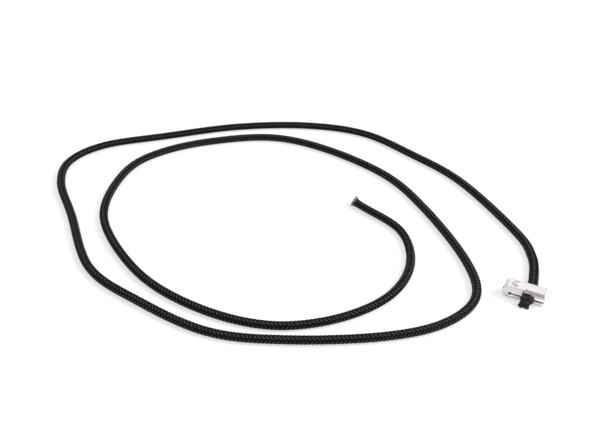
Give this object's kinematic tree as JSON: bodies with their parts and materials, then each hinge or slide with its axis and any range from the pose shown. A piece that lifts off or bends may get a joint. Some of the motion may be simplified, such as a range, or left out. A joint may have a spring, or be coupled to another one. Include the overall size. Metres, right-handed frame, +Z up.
{
  "type": "cord with split clip",
  "caption": "Round braided cord laid in a loose spiral, with a split metal cord clip held at one end by the cord's melted head and a heat-sealed free end.",
  "frame": {"origin": "middle of the clip's underside, on the surface that the clip and cord lie on", "axes": "+X along the clip towards the open end of its slot, +Y out of the clip's back face along the cord, +Z up"},
  "size_m": [0.2605, 0.181, 0.0076],
  "materials": {
    "clip_metal": "satin, tumbled, with bright rounded edges",
    "rivet_metal": "nickel-plated, satin",
    "sheath_yarn": "black braided filament yarn, slight sheen",
    "core_yarn": "undyed filament yarn",
    "melted_yarn": "black yarn melted to a rough lump",
    "cut_face": "heat-cut face, dull grey over black"
  },
  "bodies": {
    "root": {"clip_body": "clip_metal", "clip_rivet": "rivet_metal", "cord_sheath": "sheath_yarn", "core_yarn_1": "core_yarn", "core_yarn_2": "core_yarn", "core_yarn_3": "core_yarn", "core_yarn_4": "core_yarn", "melted_head": "melted_yarn", "sealed_end": "cut_face"}
  },
  "joints": []
}
